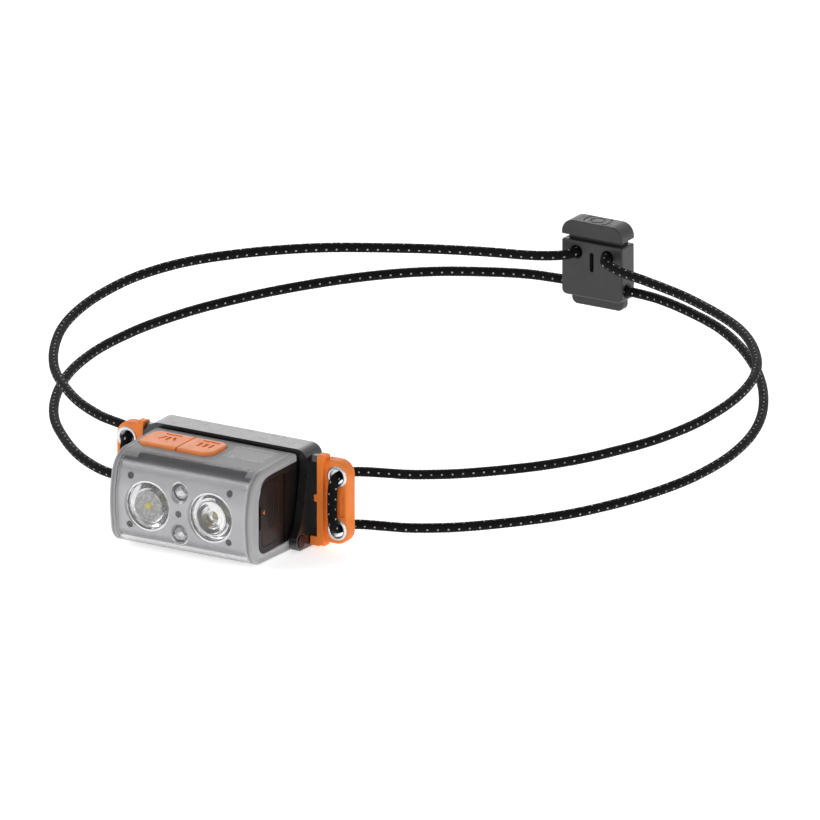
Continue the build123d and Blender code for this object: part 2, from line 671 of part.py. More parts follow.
def head_cord():
    points = cord_route()
    radii = corner_radii(points)
    path = FilletPolyline(*points, radius=radii)
    section = Plane(path @ 0, z_dir=path % 0) * Circle(CORD_DIAMETER / 2)
    tube = sweep(section, path)
    expected = math.pi * CORD_DIAMETER ** 2 / 4 * path.length
    print("corner radii:", [round(r, 1) for r in radii[: len(CORD_HALF_ROUTE)]])
    print(f"cord length {path.length:.1f} mm, volume {tube.volume:.1f}, section x length {expected:.1f}")
    return tube


def tail_knot():
    """The knot that ties the two ends together, as a plain rounded lump."""
    return Pos(*KNOT_CENTRE) * Sphere(KNOT_RADIUS)


# ---- write every node ---------------------------------------------------------------

os.makedirs("parts", exist_ok=True)

save("bracket", bracket())
for word, side in (("left", -1), ("right", 1)):
    save(f"{word}_cord_lug", cord_lug(side))
    save(f"{word}_pivot_pin", pivot_pin(side))
    save(f"{word}_upper_eyelet", eyelet(side, EYELET_Z))
    save(f"{word}_lower_eyelet", eyelet(side, -EYELET_Z))

save("front_shell", front_shell())
save("reflector_bezel", reflector_bezel())
save("flood_lens", tir_lens(-1, 0.0))
save("spot_lens", tir_lens(1, 1.6))
save("flood_reflector", reflector_cup(-1))
save("spot_reflector", reflector_cup(1))
save("flood_led", led_package(-1))
save("spot_led", led_package(1))
save("aux_led_upper", aux_led(AUX_LED_Z[0]))
save("aux_led_lower", aux_led(AUX_LED_Z[1]))
save("led_board", led_board())
save("mid_frame", mid_frame())
save("bezel_screws", bezel_screws())

save("main_board", main_board())
save("tact_switches", tact_switches())
save("indicator_leds", indicator_leds())
save("light_pipes", light_pipes())
save("indicator_window", indicator_window())
save("usb_c_socket", usb_c_socket())
save("usb_board", usb_board())
save("battery_cell", battery_cell())
save("battery_leads", battery_leads())
save("battery_foam", battery_foam())

save("rear_housing", rear_housing())
save("housing_seal", seal_ring(0.15))
save("rear_housing_screws", rear_housing_screws())

save("left_button", button(0))
save("right_button", button(1))
save("port_cover", port_cover())
save("port_cover_anchor", port_cover_anchor())

save("cord_lock_body", cord_lock_body())
save("cord_lock_plunger", cord_lock_plunger())
save("cord_lock_pin", cord_lock_pin())
save("cord_lock_spring", cord_lock_spring())
save("head_cord", head_cord())
save("tail_knot", tail_knot())
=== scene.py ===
import json
import math

import bpy
import numpy as np
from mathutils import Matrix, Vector


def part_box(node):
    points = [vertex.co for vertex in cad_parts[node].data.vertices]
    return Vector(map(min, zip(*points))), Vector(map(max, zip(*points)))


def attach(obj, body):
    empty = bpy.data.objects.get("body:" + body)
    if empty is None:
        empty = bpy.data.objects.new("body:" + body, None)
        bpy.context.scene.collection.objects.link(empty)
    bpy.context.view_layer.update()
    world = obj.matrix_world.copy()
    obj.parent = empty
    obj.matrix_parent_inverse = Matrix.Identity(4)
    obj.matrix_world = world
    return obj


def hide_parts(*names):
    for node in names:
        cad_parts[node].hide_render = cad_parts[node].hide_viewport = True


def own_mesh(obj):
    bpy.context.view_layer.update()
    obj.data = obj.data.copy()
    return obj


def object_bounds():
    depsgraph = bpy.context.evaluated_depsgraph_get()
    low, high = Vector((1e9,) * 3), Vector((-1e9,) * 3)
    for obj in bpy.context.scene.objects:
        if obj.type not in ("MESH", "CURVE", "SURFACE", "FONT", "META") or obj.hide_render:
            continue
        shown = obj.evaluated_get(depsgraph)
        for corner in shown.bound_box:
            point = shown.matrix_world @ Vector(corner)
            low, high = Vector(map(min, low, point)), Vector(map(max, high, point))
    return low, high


# Ultralight headlamp on a cord loop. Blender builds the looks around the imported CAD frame.
# Lengths are metres unless a comment says millimetres; MM turns millimetres into metres.

MM = 0.001
CAMERA_ROUND, CAMERA_ABOVE = 31.0, 18.46
CAMERA_WIDTH, CAMERA_DISTANCE = 0.22778, 1.5
CAMERA_RIGHT, CAMERA_UP = 0.046028, 0.018583
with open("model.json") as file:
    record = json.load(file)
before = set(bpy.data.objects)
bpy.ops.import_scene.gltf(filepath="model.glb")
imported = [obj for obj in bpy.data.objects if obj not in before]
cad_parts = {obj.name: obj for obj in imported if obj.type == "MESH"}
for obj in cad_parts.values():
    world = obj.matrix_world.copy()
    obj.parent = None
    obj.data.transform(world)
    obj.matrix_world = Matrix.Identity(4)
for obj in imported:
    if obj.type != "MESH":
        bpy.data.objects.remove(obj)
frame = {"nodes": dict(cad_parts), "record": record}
nodes = frame["nodes"]
cad_box = [list(corner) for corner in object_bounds()]


# ---- camera ----------------------------------------------------------------------------

def make_camera():
    """An orthographic camera, a little to the lamp's left and above it."""
    round_, above = math.radians(CAMERA_ROUND), math.radians(CAMERA_ABOVE)
    right = Vector((math.cos(round_), math.sin(round_), 0))
    level = math.cos(above)
    back = Vector((math.sin(round_) * level, -math.cos(round_) * level, math.sin(above)))
    up = back.cross(right)
    data = bpy.data.cameras.new("camera")
    data.type = "ORTHO"
    data.ortho_scale = CAMERA_WIDTH
    data.clip_start, data.clip_end = 0.01, 20.0
    camera = bpy.data.objects.new("camera", data)
    bpy.context.scene.collection.objects.link(camera)
    camera.location = right * CAMERA_RIGHT + up * CAMERA_UP + back * CAMERA_DISTANCE
    camera.rotation_mode = "QUATERNION"
    camera.rotation_quaternion = (-back).to_track_quat("-Z", "Y")
    bpy.context.scene.camera = camera


# ---- node graphs -----------------------------------------------------------------------

class Graph:
    """A material with a Principled shader, and short calls for adding nodes to it."""

    def __init__(self, name):
        self.material = bpy.data.materials.new(name)
        self.material.use_nodes = True
        self.tree = self.material.node_tree
        self.shader = self.tree.nodes["Principled BSDF"]
        self.output = self.tree.nodes["Material Output"]

    def add(self, kind, inputs=None, **settings):
        node = self.tree.nodes.new(kind)
        for key, value in settings.items():
            setattr(node, key, value)
        for key, value in (inputs or {}).items():
            self.put(node.inputs[key], value)
        return node

    def put(self, socket, value):
        if isinstance(value, bpy.types.NodeSocket):
            self.tree.links.new(value, socket)
        else:
            socket.default_value = value

    def set(self, **values):
        """Shader sockets by name, with _ for a space."""
        for key, value in values.items():
            self.put(self.shader.inputs[key.replace("_", " ")], value)

    def math(self, operation, a, b=0.0, c=0.0):
        return self.add("ShaderNodeMath", {0: a, 1: b, 2: c}, operation=operation).outputs[0]

    def spread(self, value, low, high, start=0.3, end=0.7):
        """Maps start..end of a 0..1 value to low..high."""
        inputs = {"Value": value, "From Min": start, "From Max": end, "To Min": low, "To Max": high}
        return self.add("ShaderNodeMapRange", inputs).outputs["Result"]

    def mix(self, factor, a, b):
        node = self.add("ShaderNodeMix", data_type="RGBA")
        self.put(node.inputs[0], factor)
        self.put(node.inputs[6], a)
        self.put(node.inputs[7], b)
        return node.outputs[2]

    def noise(self, per_metre, detail=3.0, stretch=None):
        where = self.add("ShaderNodeTexCoord").outputs["Object"]
        if stretch:
            where = self.add("ShaderNodeMapping", {"Vector": where, "Scale": stretch}).outputs[0]
        inputs = {"Vector": where, "Scale": per_metre, "Detail": detail}
        return self.add("ShaderNodeTexNoise", inputs).outputs["Fac"]

    def bump(self, height, distance, strength=1.0):
        inputs = {"Height": height, "Distance": distance, "Strength": strength}
        self.set(Normal=self.add("ShaderNodeBump", inputs).outputs["Normal"])


ROUGH_SPREAD = 0.06


def shade(colour, factor):
    return tuple(min(1.0, c * factor) for c in colour[:3]) + (1.0,)


def moulded(name, colour, rough=0.45, vary=0.12, mottle=150.0, grain=2600.0, depth=0.02,
            stretch=None, gloss=0.5):
    """A moulded or painted surface: slight colour mottling, uneven gloss and a fine grain."""
    g = Graph(name)
    g.set(Specular_IOR_Level=gloss)
    cloud = g.noise(mottle, stretch=stretch)
    g.set(Base_Color=g.mix(g.spread(cloud, 0, 1), shade(colour, 1 - vary), shade(colour, 1 + vary)))
    g.set(Roughness=g.spread(g.noise(mottle * 2.7), rough - ROUGH_SPREAD, rough + ROUGH_SPREAD))
    g.bump(g.noise(grain, 2.0, stretch), depth * MM)
    return g


def metal(name, colour, rough=0.2, stretch=None, depth=0.006):
    g = moulded(name, colour, rough, 0.05, 400.0, 5000.0, depth, stretch)
    g.set(Metallic=1.0)
    return g


def clear(name, colour, rough=0.03, ior=1.5, streak=300.0):
    """Clear plastic that lets the lamps through, with faint moulding waves and uneven haze."""
    g = Graph(name)
    wave = g.noise(streak, 2.0)
    g.set(Base_Color=g.mix(g.spread(wave, 0, 1), shade(colour, 0.98), shade(colour, 1.0)))
    g.set(Roughness=g.spread(g.noise(streak * 4), rough * 0.6, rough * 1.4))
    g.set(Transmission_Weight=1.0, IOR=ior)
    g.bump(wave, 0.004 * MM)
    path = g.add("ShaderNodeLightPath")
    through = g.add("ShaderNodeBsdfTransparent", {"Color": shade(colour, 0.97)})
    mix = g.add("ShaderNodeMixShader", {0: path.outputs["Is Shadow Ray"]})
    g.put(mix.inputs[1], g.shader.outputs[0])
    g.put(mix.inputs[2], through.outputs[0])
    g.put(g.output.inputs["Surface"], mix.outputs[0])
    return g


ORANGE = (0.9, 0.235, 0.038)


def tray_plastic():
    """Black nylon with a soft lacquer over it."""
    g = moulded("bracket_black", (0.006, 0.006, 0.0065), 0.32, 0.15, depth=0.002)
    g.set(Coat_Weight=0.5, Coat_Roughness=0.18)
    return g


SHELL_MIDDLE_Z = -0.4 * MM
SIDE_WALL_MIDDLE_X = 21.75 * MM
MASK_EDGE = 0.15 * MM
STRIP_X, STRIP_Y = (1.3 * MM, 17.3 * MM), (-30.4 * MM, 2.6 * MM)
FLAP_MIDDLE_Y, FLAP_HALF_Y = -17.0 * MM, 12.7 * MM
FLAP_MIDDLE_Z, FLAP_HALF_Z = 0.9 * MM, 10.6 * MM


def curve_back_shade(g, where):
    """The mask for painted shade: 0 over the lamp's front, 1 where its top and bottom curve back."""
    off_middle = g.math("ABSOLUTE", g.math("ADD", where.outputs[2], -SHELL_MIDDLE_Z))
    return g.spread(off_middle, 0.0, 1.0, 8.2 * MM, 12.0 * MM)


def within(g, value, centre, half, edge):
    """1 where value is within half of centre, falling to 0 over edge."""
    off = g.math("ABSOLUTE", g.math("SUBTRACT", value, centre))
    return g.spread(off, 1.0, 0.0, half, half + edge)


def window_area(g, where):
    """1 over the charge window."""
    low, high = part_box("indicator_window")
    middle, half = (low + high) / 2, (high - low) / 2
    return g.math("MULTIPLY", within(g, where.outputs[0], middle.x, half.x, MASK_EDGE),
                  within(g, where.outputs[1], middle.y, half.y, MASK_EDGE))


def strip_area(g, where):
    """1 over the strip in front of the keys, where the top stays clear."""
    return g.math("MULTIPLY", within(g, where.outputs[0], *STRIP_X, MASK_EDGE),
                  within(g, where.outputs[1], *STRIP_Y, MASK_EDGE))


def cover_shadow(g, where):
    """1 on the side walls round the port flap, where the dark inside shows through."""
    off_y = g.math("ABSOLUTE", g.math("ADD", where.outputs[1], -FLAP_MIDDLE_Y))
    off_z = g.math("ABSOLUTE", g.math("SUBTRACT", where.outputs[2], FLAP_MIDDLE_Z))
    across, up = g.math("DIVIDE", off_y, FLAP_HALF_Y), g.math("DIVIDE", off_z, FLAP_HALF_Z)
    reach = g.math("ADD", g.math("POWER", across, 6.0), g.math("POWER", up, 6.0))
    outer = g.spread(g.math("ABSOLUTE", where.outputs[0]), 0.0, 1.0, 21.9 * MM, 22.1 * MM)
    return g.math("MULTIPLY", outer, g.spread(reach, 1.0, 0.0, 0.92, 1.0))


def shell_plastic():
    """Clear over the front, hazy on top, smoked over the charge window, and frosted in the thick side
    walls, whose haze scatters light. Its colour darkens where the top and bottom curve back: painted
    shade."""
    g = clear("clear_polycarbonate", (0.9, 0.9, 0.905), 0.05, 1.33)
    where = g.add("ShaderNodeSeparateXYZ", {0: g.add("ShaderNodeTexCoord").outputs["Object"]})
    beside = g.spread(g.math("ABSOLUTE", where.outputs[0]), 0.0, 1.0, 20.6 * MM, 21.2 * MM)
    above = g.spread(where.outputs[2], 0.0, 1.0, 11.6 * MM, 12.2 * MM)
    upper_half = g.spread(where.outputs[2], 0, 1, 5 * MM, 6 * MM)
    window = g.math("MULTIPLY", upper_half, window_area(g, where))
    opening = g.math("MAXIMUM", window, strip_area(g, where))
    milky = g.math("MULTIPLY", above, g.math("SUBTRACT", 1.0, opening))
    haze = g.spread(g.noise(300.0), 0.32, 0.4)
    smooth = g.spread(g.noise(900.0), 0.03, 0.06)
    smooth = g.math("MULTIPLY", smooth, g.math("SUBTRACT", 1.0, window))
    frosted = g.math("MAXIMUM", beside, milky)
    inputs = {"Value": frosted, "To Min": smooth, "To Max": haze}
    g.set(Roughness=g.add("ShaderNodeMapRange", inputs).outputs["Result"])
    g.set(Transmission_Weight=g.spread(frosted, 0.98, 0.5, 0.0, 1.0))
    g.set(Specular_IOR_Level=g.spread(g.math("MAXIMUM", above, window), 0.3, 0.0, 0.0, 1.0))
    off_wall = g.math("SUBTRACT", g.math("ABSOLUTE", where.outputs[0]), SIDE_WALL_MIDDLE_X)
    pale = g.spread(g.math("ABSOLUTE", off_wall), 0, 1, 0.1 * MM, 0.6 * MM)
    rim = g.mix(pale, (0.36, 0.36, 0.37, 1), (0.66, 0.66, 0.67, 1))
    rim = g.mix(cover_shadow(g, where), rim, (0.016, 0.013, 0.013, 1))
    # painted shade: the clear shell's colour is darker where its top and bottom curve back
    smoke_and_painted_shade = g.mix(curve_back_shade(g, where), (0.9, 0.9, 0.905, 1), (0.72, 0.72, 0.73, 1))
    smoke_and_painted_shade = g.mix(milky, smoke_and_painted_shade, (0.44, 0.44, 0.45, 1))
    smoke_and_painted_shade = g.mix(window, smoke_and_painted_shade, (0.28, 0.28, 0.285, 1))
    g.set(Base_Color=g.mix(beside, smoke_and_painted_shade, rim))
    return g


def bezel_paint():
    """Satin metallised grey, with painted shade: darker where its top and bottom curve back."""
    g = moulded("bezel_grey", (0.5, 0.5, 0.51), 0.33, 0.03, 90.0, 3000.0, 0.003)
    where = g.add("ShaderNodeSeparateXYZ", {0: g.add("ShaderNodeTexCoord").outputs["Object"]})
    cloud = g.mix(g.spread(g.noise(90.0), 0, 1), (0.5, 0.5, 0.51, 1), (0.54, 0.54, 0.55, 1))
    # painted shade: the bezel's colour falls to dark grey where its top and bottom curve back
    g.set(Metallic=0.75, Base_Color=g.mix(curve_back_shade(g, where), cloud, (0.13, 0.13, 0.135, 1)))
    return g


def beaded_face():
    """The moulded beads of the flood lens, a little milky, with painted light and shade: bead tops
    lighter, the gaps between them darker.
    """
    g = moulded("optic_beaded", (0.72, 0.72, 0.7), 0.22, 0.04, 600.0, 3000.0, 0.002)
    where = g.add("ShaderNodeTexCoord").outputs["Object"]
    bead = g.add("ShaderNodeTexVoronoi", {"Vector": where, "Scale": 1500.0}).outputs["Distance"]
    # painted light and shade: bead tops are painted light and the gaps between beads dark
    bead_gap_shade = g.spread(bead, 0, 1, 0.15, 0.6)
    g.set(Base_Color=g.mix(bead_gap_shade, (0.86, 0.86, 0.83, 1), (0.34, 0.34, 0.33, 1)))
    g.set(Transmission_Weight=0.35, IOR=1.49)
    return g.material


def chrome():
    """Bright plating over facets pressed into the cup."""
    g = metal("reflector_chrome", (0.88, 0.88, 0.89), 0.1)
    g.bump(g.noise(420.0, 1.0), 0.35 * MM)
    return g


def braid_material():
    """Black braid with light tracer flecks in four staggered rows; it reads the tube's UV map,
    whose U counts flecks along the cord and V runs round it once."""
    g = Graph("cord_black")
    uv = g.add("ShaderNodeSeparateXYZ", {0: g.add("ShaderNodeTexCoord").outputs["UV"]})
    along, round_ = uv.outputs[0], g.math("MULTIPLY", uv.outputs[1], 4.0)
    row = g.math("FLOOR", round_)
    shift = g.math("MULTIPLY", row, 0.5)
    cell = g.math("FRACT", g.math("ADD", along, shift))
    near_u = g.math("ABSOLUTE", g.math("SUBTRACT", cell, 0.5))
    near_v = g.math("ABSOLUTE", g.math("SUBTRACT", g.math("FRACT", round_), 0.5))
    reach = g.math("ADD", g.math("POWER", g.math("DIVIDE", near_u, 0.095), 2.0),
                   g.math("POWER", g.math("DIVIDE", near_v, 0.12), 2.0))
    fleck = g.spread(reach, 1.0, 0.0, 0.6, 1.3)
    patchy = g.spread(g.noise(900.0), 0.45, 1.0, 0.35, 0.6)
    fleck = g.math("MULTIPLY", fleck, patchy)
    thread = g.add("ShaderNodeTexWave", {"Scale": 60.0, "Distortion": 1.5})
    thread.wave_type = "BANDS"
    g.put(thread.inputs["Vector"], g.add("ShaderNodeTexCoord").outputs["UV"])
    worn = g.spread(thread.outputs["Fac"], 0, 1)
    ply = g.mix(worn, (0.0015, 0.0015, 0.0017, 1), (0.006, 0.006, 0.0065, 1))
    g.set(Base_Color=g.mix(fleck, ply, (0.62, 0.62, 0.62, 1)))
    g.set(Roughness=g.spread(g.noise(2500.0), 0.42, 0.62))
    g.set(Specular_IOR_Level=0.12)
    g.bump(thread.outputs["Fac"], 0.03 * MM)
    return g.material


def make_materials():
    """One material for each of the record's slots."""
    m = {
        "bracket_black": tray_plastic(),
        "lug_orange": moulded("lug_orange", ORANGE, 0.5, 0.05, depth=0.008, gloss=0.3),
        "eyelet_metal": metal("eyelet_metal", (0.74, 0.76, 0.78), 0.32),
        "pin_steel": metal("pin_steel", (0.05, 0.035, 0.033), 0.45),
        "clear_polycarbonate": shell_plastic(),
        "bezel_grey": bezel_paint(),
        "optic_acrylic": clear("optic_acrylic", (0.99, 0.99, 0.985), 0.01, 1.49),
        "reflector_chrome": chrome(),
        "led_phosphor": moulded("led_phosphor", (0.8, 0.66, 0.05), 0.4, 0.08),
        "aux_led_clear": clear("aux_led_clear", (0.99, 0.99, 1.0), 0.02, 1.5),
        "board_green": moulded("board_green", (0.01, 0.09, 0.03), 0.35, 0.3, 700.0),
        "board_white": moulded("board_white", (0.8, 0.8, 0.78), 0.4, 0.05, 700.0),
        "inner_black": moulded("inner_black", (0.02, 0.02, 0.02), 0.5, 0.2),
        "screw_black": metal("screw_black", (0.06, 0.06, 0.06), 0.4),
        "switch_metal": metal("switch_metal", (0.6, 0.6, 0.58), 0.3),
        "light_pipe_white": moulded("light_pipe_white", (0.82, 0.83, 0.84), 0.35, 0.04),
        "window_smoke": moulded("window_smoke", (0.09, 0.09, 0.093), 0.6, 0.08,
                                depth=0.002, gloss=0.0),
        "battery_foil": metal("battery_foil", (0.7, 0.7, 0.72), 0.35, depth=0.03),
        "foam_black": moulded("foam_black", (0.02, 0.02, 0.02), 0.9, 0.3, 1200.0, 3000.0, 0.2),
        "seal_rubber": moulded("seal_rubber", (0.03, 0.03, 0.03), 0.6, 0.2),
        "button_orange": moulded("button_orange", (0.9, 0.26, 0.06), 0.45, 0.05, depth=0.008),
        "cover_rubber": moulded("cover_rubber", (0.006, 0.0035, 0.003), 0.34, 0.6, 90.0,
                                depth=0.004, gloss=0.3),
        "lock_grey": moulded("lock_grey", (0.031, 0.031, 0.031), 0.45, 0.08,
                             depth=0.01, gloss=0.45),
        "spring_steel": metal("spring_steel", (0.5, 0.5, 0.52), 0.25),
    }
    m = {slot: graph.material for slot, graph in m.items()}
    m["cord_black"] = braid_material()
    return m


# ---- meshes ----------------------------------------------------------------------------

def new_piece(name, verts, faces, material, body="lamp", uvs=None, smooth=True):
    """A mesh object that rides on a body. uvs holds one (u, v) for each face corner."""
    mesh = bpy.data.meshes.new(name)
    mesh.from_pydata([tuple(v) for v in verts], [], faces)
    mesh.materials.append(material)
    if uvs is not None:
        layer = mesh.uv_layers.new(name="UVMap")
        layer.data.foreach_set("uv", np.asarray(uvs, np.float32).ravel())
    mesh.polygons.foreach_set("use_smooth", [smooth] * len(mesh.polygons))
    mesh.update()
    piece = bpy.data.objects.new(name, mesh)
    bpy.context.scene.collection.objects.link(piece)
    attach(piece, body)
    return piece


def spline_points(name, points, resolution):
    """Points along the NURBS spline that has these control points, with an open end each side."""
    curve = bpy.data.curves.new(name, "CURVE")
    curve.dimensions = "3D"
    curve.resolution_u = resolution
    spline = curve.splines.new("NURBS")
    spline.points.add(len(points) - 1)
    for target, point in zip(spline.points, points):
        target.co = (*point, 1.0)
    spline.order_u = 3
    spline.use_endpoint_u = True
    holder = bpy.data.objects.new(name, curve)
    bpy.context.scene.collection.objects.link(holder)
    bpy.context.view_layer.update()
    mesh = bpy.data.meshes.new_from_object(holder)
    line = np.array([v.co for v in mesh.vertices])
    bpy.data.objects.remove(holder)
    return line


def even_steps(line, step):
    """The same line read off at equal distances, and those distances."""
    lengths = np.r_[0, np.cumsum(np.linalg.norm(np.diff(line, axis=0), axis=1))]
    count = max(2, int(round(lengths[-1] / step)) + 1)
    at = np.linspace(0, lengths[-1], count)
    return np.stack([np.interp(at, lengths, line[:, k]) for k in range(3)], 1), at


def turn_free_frames(line):
    """Two side directions at each point that never twist about the line."""
    tangent = np.gradient(line, axis=0)
    tangent /= np.linalg.norm(tangent, axis=1)[:, None]
    side = np.cross(tangent[0], (0.0, 0.0, 1.0))
    if np.linalg.norm(side) < 0.1:
        side = np.cross(tangent[0], (0.0, 1.0, 0.0))
    sides = []
    for t in tangent:
        side = side - t * side.dot(t)
        side /= np.linalg.norm(side)
        sides.append(side)
    sides = np.array(sides)
    return sides, np.cross(tangent, sides)


def tube(name, line, at, radius, count, material, body, relief=None, closed=False,
         fleck=1.0, ends=0.0):
    """A tube along a line. relief(at, angle) is the height that it adds to the radius, and ends
    is how far its round ends reach past the line."""
    a, b = turn_free_frames(line)
    angle = np.linspace(0, 2 * math.pi, count, endpoint=False)
    height = relief(at[:, None], angle[None, :]) if relief else np.zeros((len(at), count))
    reach = radius + height
    ring = a[:, None, :] * np.cos(angle)[None, :, None] + b[:, None, :] * np.sin(angle)[None, :, None]
    grid = line[:, None, :] + ring * reach[:, :, None]
    rows = len(line)
    verts = list(grid.reshape(-1, 3))
    faces, uvs = [], []
    steps = rows if closed else rows - 1
    for i in range(steps):
        j = (i + 1) % rows
        for k in range(count):
            n = (k + 1) % count
            faces.append((i * count + k, i * count + n, j * count + n, j * count + k))
            u0, u1 = at[i] / fleck, at[j] / fleck if j else at[i] / fleck
            v0, v1 = k / count, (k + 1) / count
            uvs += [(u0, v0), (u0, v1), (u1, v1), (u1, v0)]
    if not closed:
        for row, out in ((0, line[0] - line[1]), (rows - 1, line[-1] - line[-2])):
            out = out / np.linalg.norm(out)
            verts.append(line[row] + out * ends)
            tip = len(verts) - 1
            for k in range(count):
                n = (k + 1) % count
                pair = (row * count + k, row * count + n)
                faces.append((*(pair[::-1] if row == 0 else pair), tip))
                uvs += [(at[row] / fleck, k / count)] * 3
    return new_piece(name, verts, faces, material, body, uvs)


def turned(name, profile, centre, count, material, body="lamp", lift=None):
    """A body turned about an axis along Y from (radius, y) points; lift(x, z) is added to y
    on the first rows, those before the profile's widest point."""
    angle = np.linspace(0, 2 * math.pi, count, endpoint=False)
    verts, faces = [], []
    widest = max(range(len(profile)), key=lambda i: profile[i][0])
    rows = []
    for i, (radius, y) in enumerate(profile):
        if radius < 1e-9:
            rise = lift(0.0, 0.0) if lift and i < widest else 0.0
            rows.append([len(verts)])
            verts.append((centre[0], y + rise, centre[1]))
            continue
        rows.append(list(range(len(verts), len(verts) + count)))
        for t in angle:
            x, z = radius * math.cos(t), radius * math.sin(t)
            rise = lift(x, z) if lift and i < widest else 0.0
            verts.append((centre[0] + x, y + rise, centre[1] + z))
    for low, high in zip(rows, rows[1:]):
        for k in range(count):
            n = (k + 1) % count
            corners = [low[k % len(low)], low[n % len(low)], high[n % len(high)], high[k % len(high)]]
            corners = list(dict.fromkeys(corners))
            if len(corners) > 2:
                faces.append(tuple(corners))
    return new_piece(name, verts, faces, material, body)


# ---- the cord --------------------------------------------------------------------------

CORD_DIAMETER = 2.7 * MM
CORD_STEP = 0.36 * MM
FLECK_SPACING = 2.9 * MM
BRAID_CELL = 2.2 * MM
# The right half of the cord's route in millimetres, from the knot to the lamp and back.
CORD_HALF_ROUTE = [
    (1.2, 202.5, 3.4), (3.2, 202.1, 7.3), (4.5, 199.9, 10.7), (5.0, 196.8, 11.5), (5.0, 184.9, 11.5),
    (8.2, 182.6, 11.1), (15.0, 179.0, 11.0), (27.0, 175.3, 11.2), (46.5, 168.0, 11.0), (75.0, 149.0, 11.8),
    (98.5, 115.0, 12.2), (101.0, 72.5, 10.1), (85.5, 36.5, 8.6), (65.5, 15.4, 7.9), (51.5, 6.2, 7.6),
    (43.0, 3.1, 7.7), (38.0, 1.3, 7.7), (35.2, -0.4, 7.7), (34.2, -2.8, 7.7), (33.9, -6.8, 7.7),
    (33.7, -8.7, 5.9), (33.7, -8.7, -5.9), (33.9, -6.8, -7.7), (34.2, -2.8, -7.7), (35.2, -0.4, -7.7),
    (38.0, 1.2, -7.7), (43.0, 2.9, -7.8), (51.5, 6.0, -8.0), (65.5, 15.4, -7.8), (87.5, 39.5, -6.8),
    (101.0, 76.0, -5.2), (98.0, 114.5, -3.7), (80.0, 148.7, -1.4), (53.0, 174.8, 1.3), (25.0, 187.0, 2.2),
    (12.5, 190.3, 1.7),
]


def cord_route():
    half = [Vector(point) * MM for point in CORD_HALF_ROUTE]
    return half + [Vector((-x, y, z)) for x, y, z in reversed(half)]


def braid_relief(at, angle):
    """Strands of two families that pass over and under each other."""
    strands, pitch = 8, BRAID_CELL
    a = angle * strands / (2 * math.pi) + at / pitch * 2
    b = angle * strands / (2 * math.pi) - at / pitch * 2
    over = (np.floor(a) + np.floor(b)) % 2
    first = np.sin(math.pi * (a - np.floor(a))) * (0.35 + 0.65 * over)
    second = np.sin(math.pi * (b - np.floor(b))) * (1.0 - 0.65 * over)
    return (np.maximum(first, second) - 0.75) * 0.2 * MM


def make_cord(material):
    line = spline_points("cord_line", cord_route(), 24)
    path, at = even_steps(line, CORD_STEP)
    cord = tube("head_cord_braid", path, at, CORD_DIAMETER / 2, 32, material,
                "bracket_and_cord", braid_relief, fleck=FLECK_SPACING)
    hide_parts("head_cord")
    return cord, path, at[-1]


KNOT = Vector((0.0, 202.5, 0.6)) * MM


def knot_wrap(turns, low, high):
    """Control points of wraps round the two strands, flattened front to back."""
    steps = int(turns * 8) + 1
    points = []
    for i in range(steps):
        t = i / (steps - 1)
        turn = 2 * math.pi * turns * t
        offset = Vector((3.1 * math.cos(turn), 2.3 * math.sin(turn), low + (high - low) * t))
        points.append(KNOT + offset * MM)
    return points


def make_knot(material):
    """A wrapped overhand knot and its two short tails with heat-sealed tips."""
    routes = [knot_wrap(1.75, -1.5, 1.9)]
    for side, lean in ((1, -1.6), (-1, -3.2)):
        tail = [(side * 1.2, 0.0, 2.8), (side * 0.9, 0.3, 0.0), (side * 1.3, 0.5, -3.0)]
        tail += [(side * 1.6 + lean * 0.3, 0.8, -5.2), (side * 1.6 + lean, 0.9, -7.6)]
        routes.append([KNOT + Vector(point) * MM for point in tail])
    pieces = []
    for index, route in enumerate(routes):
        path, at = even_steps(spline_points("knot_line", route, 12), CORD_STEP)
        name = "tail_knot_wrap" if index == 0 else f"tail_knot_end_{index}"
        piece = tube(name, path, at, 1.3 * MM, 32, material, "bracket_and_cord",
                     braid_relief, fleck=FLECK_SPACING, ends=0.5 * MM)
        pieces.append(piece)
    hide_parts("tail_knot")
    return pieces


# ---- optics ----------------------------------------------------------------------------

def lens_axis(node):
    low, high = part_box(node)
    return ((low.x + high.x) / 2, (low.z + high.z) / 2), low.y, high.y


BEADED_RADIUS, BEAD_PITCH, BEAD_HEIGHT = 4.25 * MM, 0.66 * MM, 0.13 * MM


def bead_lift(x, z):
    """Round beads on a triangular lattice over the lens face."""
    if math.hypot(x, z) > BEADED_RADIUS:
        return 0.0
    pitch = BEAD_PITCH
    row = round(z / (pitch * 0.866))
    nearest = 1.0
    for r in (row - 1, row, row + 1):
        offset = 0.5 * pitch if r % 2 else 0.0
        column = round((x - offset) / pitch)
        nearest = min(nearest, math.hypot(x - offset - column * pitch, z - r * pitch * 0.866))
    return BEAD_HEIGHT * min(1.0, (nearest / (0.5 * pitch)) ** 2)


def to_metres(points):
    return [(r * MM, y * MM) for r, y in points]


